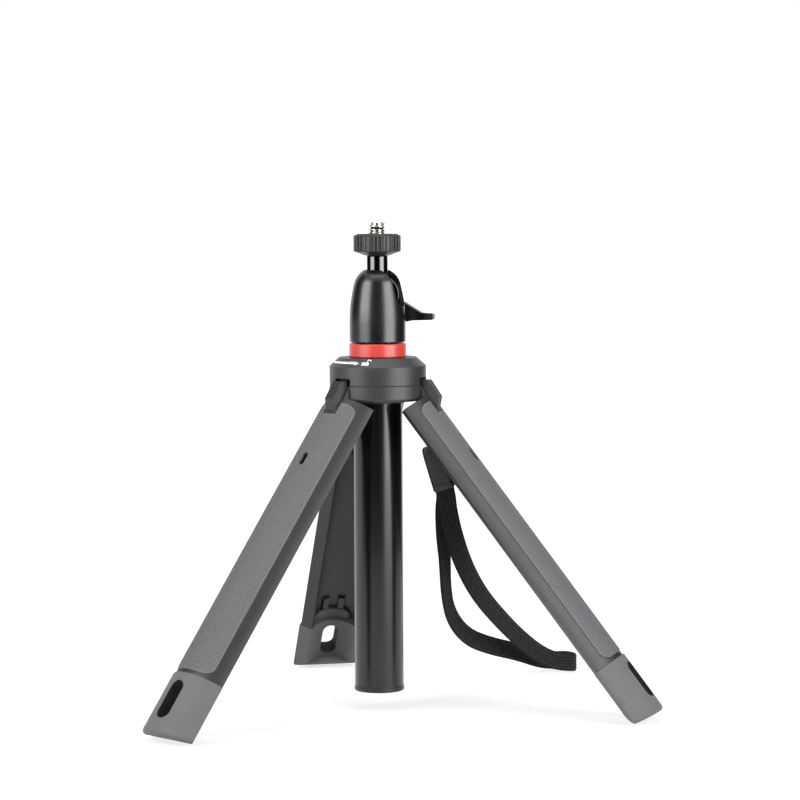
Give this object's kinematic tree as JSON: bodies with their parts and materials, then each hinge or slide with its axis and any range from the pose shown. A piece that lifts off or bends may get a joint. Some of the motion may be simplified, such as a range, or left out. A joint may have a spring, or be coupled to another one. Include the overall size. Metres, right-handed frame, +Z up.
{
  "type": "telescoping tripod",
  "caption": "Small telescoping table tripod with folding channel legs, twist lock ring, ball head with clamp lever and camera wheel, and a wrist strap.",
  "frame": {"origin": "on the floor that the feet stand on, under the pole axis", "axes": "+Z up along the pole, -Y towards the front, between the left and right legs; the rear leg points to +Y"},
  "size_m": [0.1979, 0.1754, 0.1895],
  "materials": {
    "tube_black": "gloss",
    "hub_plastic": "matte",
    "ring_orange": "satin",
    "bright_aluminium": "satin",
    "grey_nylon": "matte",
    "leg_plastic": "matte",
    "leg_grip": "matte",
    "foot_rubber": "matte",
    "head_black": "satin",
    "polished_steel": "polished",
    "plain_steel": "brushed",
    "lever_black": "satin",
    "black_rubber": "matte",
    "strap_fabric": "woven",
    "keeper_black": "matte"
  },
  "bodies": {
    "base": {"outer_tube": "tube_black", "tube_end_plug": "head_black", "hub_upper_shell": "hub_plastic", "hub_lower_shell": "hub_plastic", "hub_screws": "plain_steel", "lock_collet": "grey_nylon", "hinge_pin_left": "plain_steel", "hinge_pin_right": "plain_steel", "hinge_pin_rear": "plain_steel"},
    "twist_ring": {"lock_ring": "ring_orange"},
    "section_1": {"pole_section_1": "bright_aluminium", "section_bush_1": "grey_nylon"},
    "section_2": {"pole_section_2": "bright_aluminium", "section_bush_2": "grey_nylon"},
    "section_3": {"pole_section_3": "bright_aluminium", "section_bush_3": "grey_nylon"},
    "section_4": {"pole_section_4": "bright_aluminium", "section_bush_4": "grey_nylon"},
    "section_5": {"pole_section_5": "bright_aluminium", "section_bush_5": "grey_nylon", "head_housing": "head_black", "head_base": "bright_aluminium"},
    "head_ball": {"ball": "polished_steel"},
    "head_stem": {"ball_stem": "polished_steel"},
    "wheel": {"camera_wheel": "head_black", "camera_stud": "polished_steel", "wheel_pad": "black_rubber"},
    "lever": {"clamp_lever": "lever_black", "clamp_screw": "plain_steel"},
    "brake": {"brake_pad": "grey_nylon"},
    "leg_left": {"leg_shell_left": "leg_plastic", "leg_pad_left": "leg_grip", "foot_left": "foot_rubber"},
    "leg_right": {"leg_shell_right": "leg_plastic", "leg_pad_right": "leg_grip", "foot_right": "foot_rubber", "strap_keeper": "keeper_black", "strap_cord": "strap_fabric", "strap_webbing": "strap_fabric"},
    "leg_rear": {"leg_shell_rear": "leg_plastic", "leg_pad_rear": "leg_grip", "foot_rear": "foot_rubber"}
  },
  "joints": [
    {"name": "leg_fold_left", "type": "hinge", "parent": "base", "child": "leg_left", "pos_m": [-0.01169, -0.00675, 0.12834], "axis": [0.5, -0.866, 0], "range_deg": [0, 37.7]},
    {"name": "leg_fold_right", "type": "hinge", "parent": "base", "child": "leg_right", "pos_m": [0.01169, -0.00675, 0.12834], "axis": [0.5, 0.866, 0], "range_deg": [0, 37.7], "deforming": ["strap_webbing", "strap_cord", "strap_keeper"]},
    {"name": "leg_fold_rear", "type": "hinge", "parent": "base", "child": "leg_rear", "pos_m": [0, 0.0135, 0.12834], "axis": [-1, 0, 0], "range_deg": [0, 37.7]},
    {"name": "lock_ring_turn", "type": "hinge", "parent": "base", "child": "twist_ring", "pos_m": [0, 0, 0.14034], "axis": [0, 0, 1], "range_deg": [0, 75]},
    {"name": "pole_slide_1", "type": "slide", "parent": "base", "child": "section_1", "axis": [0, 0, 1], "range_m": [0, 0.11]},
    {"name": "pole_slide_2", "type": "slide", "parent": "section_1", "child": "section_2", "axis": [0, 0, 1], "range_m": [0, 0.11]},
    {"name": "pole_slide_3", "type": "slide", "parent": "section_2", "child": "section_3", "axis": [0, 0, 1], "range_m": [0, 0.11]},
    {"name": "pole_slide_4", "type": "slide", "parent": "section_3", "child": "section_4", "axis": [0, 0, 1], "range_m": [0, 0.11]},
    {"name": "pole_slide_5", "type": "slide", "parent": "section_4", "child": "section_5", "axis": [0, 0, 1], "range_m": [0, 0.11]},
    {"name": "ball_tilt", "type": "hinge", "parent": "section_5", "child": "head_ball", "pos_m": [0, 0, 0.16116], "axis": [0.5299, 0.848, 0], "range_deg": [-4, 90]},
    {"name": "stem_turn", "type": "hinge", "parent": "head_ball", "child": "head_stem", "pos_m": [0, 0, 0.16116], "axis": [0, 0, 1], "continuous": true},
    {"name": "wheel_turn", "type": "hinge", "parent": "head_stem", "child": "wheel", "pos_m": [0, 0, 0.17651], "axis": [0, 0, 1], "continuous": true},
    {"name": "lever_turn", "type": "hinge", "parent": "section_5", "child": "lever", "pos_m": [0.00545, 0.01069, 0.15516], "axis": [0.454, 0.891, 0], "range_deg": [0, 50]},
    {"name": "pad_release", "type": "slide", "parent": "section_5", "child": "brake", "axis": [0.454, 0.891, 0], "range_m": [0, 0.0002]}
  ],
  "couplings": [
    {"joint": "pad_release", "follows": "lever_turn", "m_per_rad": 0.000229}
  ]
}
